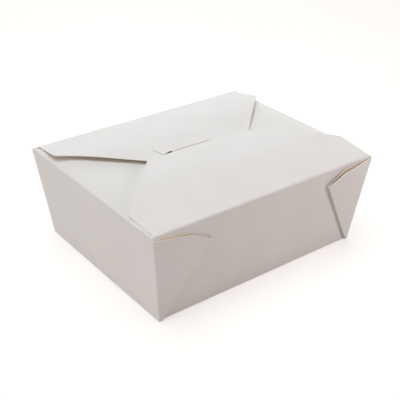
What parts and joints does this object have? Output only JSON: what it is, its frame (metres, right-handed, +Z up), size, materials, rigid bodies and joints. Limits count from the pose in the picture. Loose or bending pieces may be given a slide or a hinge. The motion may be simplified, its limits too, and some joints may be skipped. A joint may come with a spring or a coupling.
{
  "type": "takeout food box",
  "caption": "Folded paperboard takeout box: leaning walls, folded corner webs outside the long walls, and overlapping top flaps closed by a tongue in a slit.",
  "frame": {"origin": "centre of the base, on the surface that the box stands on", "axes": "+X along the long side, the front wall with the opening flap at -Y, +Z up"},
  "size_m": [0.1708, 0.1439, 0.0694],
  "materials": {
    "white_board": "satin"
  },
  "bodies": {
    "box": {"carton": "white_board"},
    "lid_flap": {"front_flap": "white_board"}
  },
  "joints": [
    {"name": "front_flap_fold", "type": "hinge", "parent": "box", "child": "lid_flap", "pos_m": [0, -0.06875, 0.0635], "axis": [1, 0, 0], "range_deg": [0, 180]}
  ]
}
